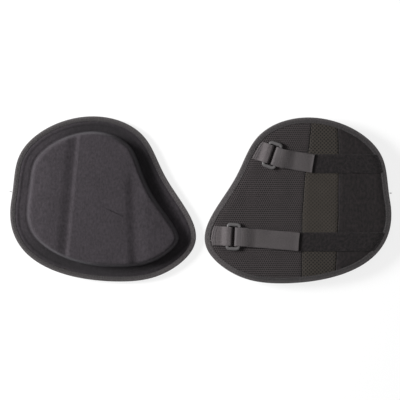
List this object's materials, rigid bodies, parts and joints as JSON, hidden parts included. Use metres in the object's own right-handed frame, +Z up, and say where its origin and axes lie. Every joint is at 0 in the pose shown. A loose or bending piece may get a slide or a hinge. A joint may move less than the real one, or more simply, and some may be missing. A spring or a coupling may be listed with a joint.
{
  "type": "pair of knee pads",
  "caption": "Soft moulded knee pads with a lobed foam dome, bound flange, mesh lined back and elastic hook-and-loop straps through plastic rings.",
  "frame": {"origin": "centre of the pair's bounding box, on the surface it lies on", "axes": "+X from the left pad to the right pad, +Y towards the top of the pads, +Z up; the left pad lies dome up, the right pad dome down"},
  "size_m": [0.507, 0.2221, 0.029],
  "materials": {
    "cover_knit": "brushed charcoal knit",
    "foam": "moulded foam",
    "dotted_mesh": "fine dotted mesh",
    "open_mesh": "coarse open mesh",
    "plain_lining": "plain brushed lining",
    "binding": "folded knit binding",
    "loop_elastic": "loop-pile elastic",
    "elastic_web": "ribbed elastic",
    "webbing": "ribbed webbing",
    "ring_plastic": "moulded plastic, satin",
    "hook_tape": "woven tape",
    "hook_field": "hook field",
    "thread": "sewing thread"
  },
  "bodies": {
    "left_pad": {"left_front_cover": "cover_knit", "left_foam_core": "foam", "left_comfort_foam": "foam", "left_lobe_lining": "dotted_mesh", "left_centre_lining": "open_mesh", "left_round_lining": "plain_lining", "left_edge_binding": "binding", "left_upper_strap": "loop_elastic", "left_lower_strap": "loop_elastic", "left_upper_anchor": "webbing", "left_lower_anchor": "webbing", "left_anchor_bar_tacks": "thread"},
    "left_upper_ring_body": {"left_upper_ring": "ring_plastic", "left_upper_strap_fold": "elastic_web"},
    "left_upper_tab_body": {"left_upper_hook_tab": "hook_tape", "left_upper_hook_patch": "hook_field"},
    "left_lower_ring_body": {"left_lower_ring": "ring_plastic", "left_lower_strap_fold": "elastic_web"},
    "left_lower_tab_body": {"left_lower_hook_tab": "hook_tape", "left_lower_hook_patch": "hook_field"},
    "right_pad": {"right_front_cover": "cover_knit", "right_foam_core": "foam", "right_comfort_foam": "foam", "right_lobe_lining": "dotted_mesh", "right_centre_lining": "open_mesh", "right_round_lining": "plain_lining", "right_edge_binding": "binding", "right_upper_strap": "loop_elastic", "right_lower_strap": "loop_elastic", "right_upper_anchor": "webbing", "right_lower_anchor": "webbing", "right_anchor_bar_tacks": "thread"},
    "right_upper_ring_body": {"right_upper_ring": "ring_plastic", "right_upper_strap_fold": "elastic_web"},
    "right_upper_tab_body": {"right_upper_hook_tab": "hook_tape", "right_upper_hook_patch": "hook_field"},
    "right_lower_ring_body": {"right_lower_ring": "ring_plastic", "right_lower_strap_fold": "elastic_web"},
    "right_lower_tab_body": {"right_lower_hook_tab": "hook_tape", "right_lower_hook_patch": "hook_field"}
  },
  "joints": [
    {"name": "left_upper_ring_swing", "type": "hinge", "parent": "left_pad", "child": "left_upper_ring_body", "pos_m": [-0.08795, 0.0639, 0.0031], "axis": [0.3256, -0.9455, 0], "range_deg": [0, 80]},
    {"name": "left_upper_tab_peel", "type": "hinge", "parent": "left_upper_ring_body", "child": "left_upper_tab_body", "pos_m": [-0.10743, 0.05719, 0], "axis": [0.3256, -0.9455, 0], "range_deg": [0, 100]},
    {"name": "left_lower_ring_swing", "type": "hinge", "parent": "left_pad", "child": "left_lower_ring_body", "pos_m": [-0.03602, -0.04612, 0.0031], "axis": [0.0523, -0.9986, 0], "range_deg": [0, 80]},
    {"name": "left_lower_tab_peel", "type": "hinge", "parent": "left_lower_ring_body", "child": "left_lower_tab_body", "pos_m": [-0.05659, -0.0472, 0], "axis": [0.0523, -0.9986, 0], "range_deg": [0, 100]},
    {"name": "right_upper_ring_swing", "type": "hinge", "parent": "right_pad", "child": "right_upper_ring_body", "pos_m": [0.08795, 0.0619, 0.0259], "axis": [-0.3256, -0.9455, 0], "range_deg": [0, 80]},
    {"name": "right_upper_tab_peel", "type": "hinge", "parent": "right_upper_ring_body", "child": "right_upper_tab_body", "pos_m": [0.10743, 0.05519, 0.029], "axis": [-0.3256, -0.9455, 0], "range_deg": [0, 100]},
    {"name": "right_lower_ring_swing", "type": "hinge", "parent": "right_pad", "child": "right_lower_ring_body", "pos_m": [0.03602, -0.04812, 0.0259], "axis": [-0.0523, -0.9986, 0], "range_deg": [0, 80]},
    {"name": "right_lower_tab_peel", "type": "hinge", "parent": "right_lower_ring_body", "child": "right_lower_tab_body", "pos_m": [0.05659, -0.0492, 0.029], "axis": [-0.0523, -0.9986, 0], "range_deg": [0, 100]},
    {"name": "right_pad_lift", "type": "slide", "parent": "left_pad", "child": "right_pad", "axis": [0, 0, 1], "range_m": [0, 0.15]}
  ]
}
